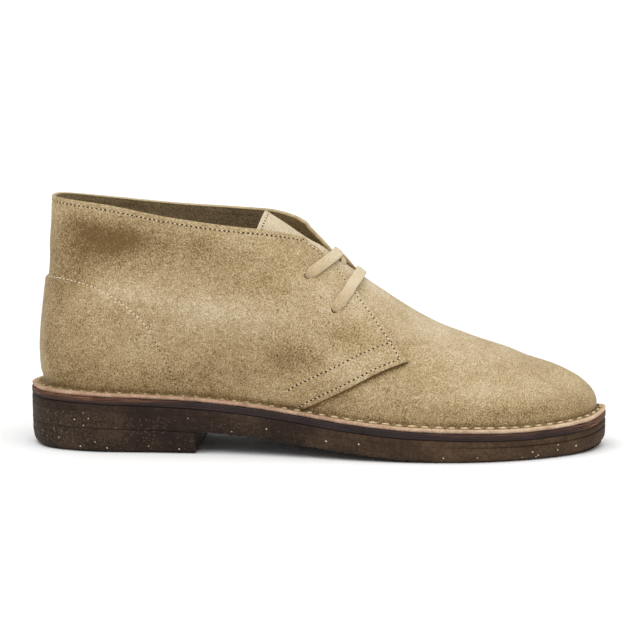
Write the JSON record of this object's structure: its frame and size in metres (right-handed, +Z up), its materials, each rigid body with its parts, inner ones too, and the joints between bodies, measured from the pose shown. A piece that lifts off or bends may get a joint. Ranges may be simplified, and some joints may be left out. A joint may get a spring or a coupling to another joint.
{
  "type": "chukka boot",
  "caption": "Right-foot ankle-high suede chukka boot on a low crepe sole, with an open throat, tongue and short flat lace, its upper turned out and stitched to the sole.",
  "frame": {"origin": "on the floor, under the middle of the boot's box", "axes": "+X from heel to toe, +Y towards the inner side of the right foot, +Z up"},
  "size_m": [0.305, 0.1066, 0.132],
  "materials": {
    "suede": "sand-coloured napped suede",
    "crepe": "dark brown natural crepe rubber with pale flecks",
    "midsole": "red-brown pressed board, edge dyed",
    "insole": "smooth tan leather",
    "lace": "flat woven cotton"
  },
  "bodies": {
    "root": {"outsole": "crepe", "heel": "crepe", "midsole": "midsole", "insole": "insole", "upper": "suede", "tongue": "suede", "lace_lower": "lace", "lace_upper": "lace"}
  },
  "joints": []
}
